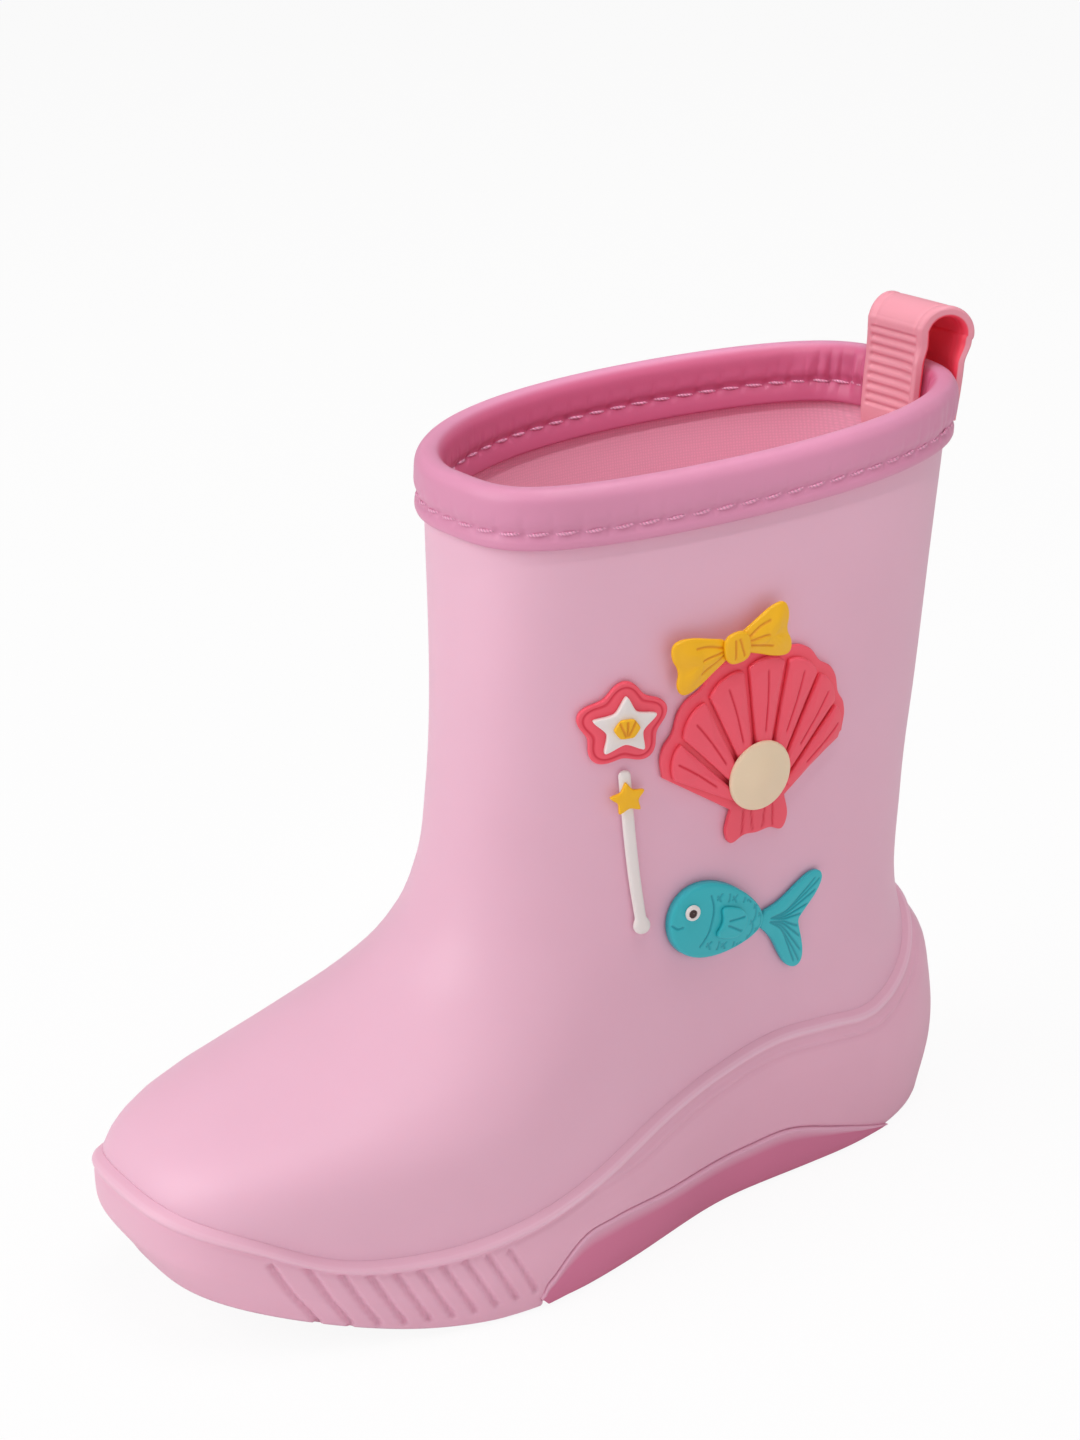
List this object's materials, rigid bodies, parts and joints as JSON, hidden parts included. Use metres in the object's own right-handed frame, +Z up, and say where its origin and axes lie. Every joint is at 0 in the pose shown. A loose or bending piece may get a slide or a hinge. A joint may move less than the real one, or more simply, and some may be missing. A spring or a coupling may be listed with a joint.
{
  "type": "child's rain boot",
  "caption": "Left child's rubber rain boot with a stitched collar binding, rear pull loop, cup sole, loose insole and raised sea-motif badges.",
  "frame": {"origin": "on the ground, under the middle of the sole, at the plain panel under the arch", "axes": "+Z up, -Y towards the toe, +Y towards the heel, +X towards the outer side of the left foot"},
  "size_m": [0.0772, 0.189, 0.164],
  "materials": {
    "upper_rubber": "satin",
    "lining_knit": "matt knit",
    "sole_rubber": "satin",
    "tread_rubber": "satin",
    "binding_tape": "satin",
    "thread": "twisted polyester",
    "loop_rubber": "matt",
    "foam": "matt foam",
    "insole_knit": "matt knit",
    "coral_fill": "satin",
    "cream_fill": "satin",
    "yellow_fill": "satin",
    "white_fill": "satin",
    "teal_fill": "satin"
  },
  "bodies": {
    "boot": {"upper": "upper_rubber", "lining": "lining_knit", "sole_wall": "sole_rubber", "outsole": "tread_rubber", "collar_binding": "binding_tape", "needle_thread": "thread", "bobbin_thread": "thread", "pull_loop": "loop_rubber", "shell_base": "coral_fill", "shell_ribs": "coral_fill", "pearl": "cream_fill", "bow_loops": "yellow_fill", "bow_knot": "yellow_fill", "wand_base": "coral_fill", "wand_star": "white_fill", "wand_gem": "yellow_fill", "wand_stick": "white_fill", "wand_charm": "yellow_fill", "fish_body": "teal_fill", "fish_tail": "teal_fill", "fish_fin": "teal_fill", "fish_eye": "white_fill"},
    "insole": {"insole_foam": "foam", "insole_cover": "insole_knit"}
  },
  "joints": [
    {"name": "insole_lift", "type": "hinge", "parent": "boot", "child": "insole", "pos_m": [0, -0.08177, 0.01365], "axis": [1, 0, 0], "range_deg": [0, 7]}
  ]
}
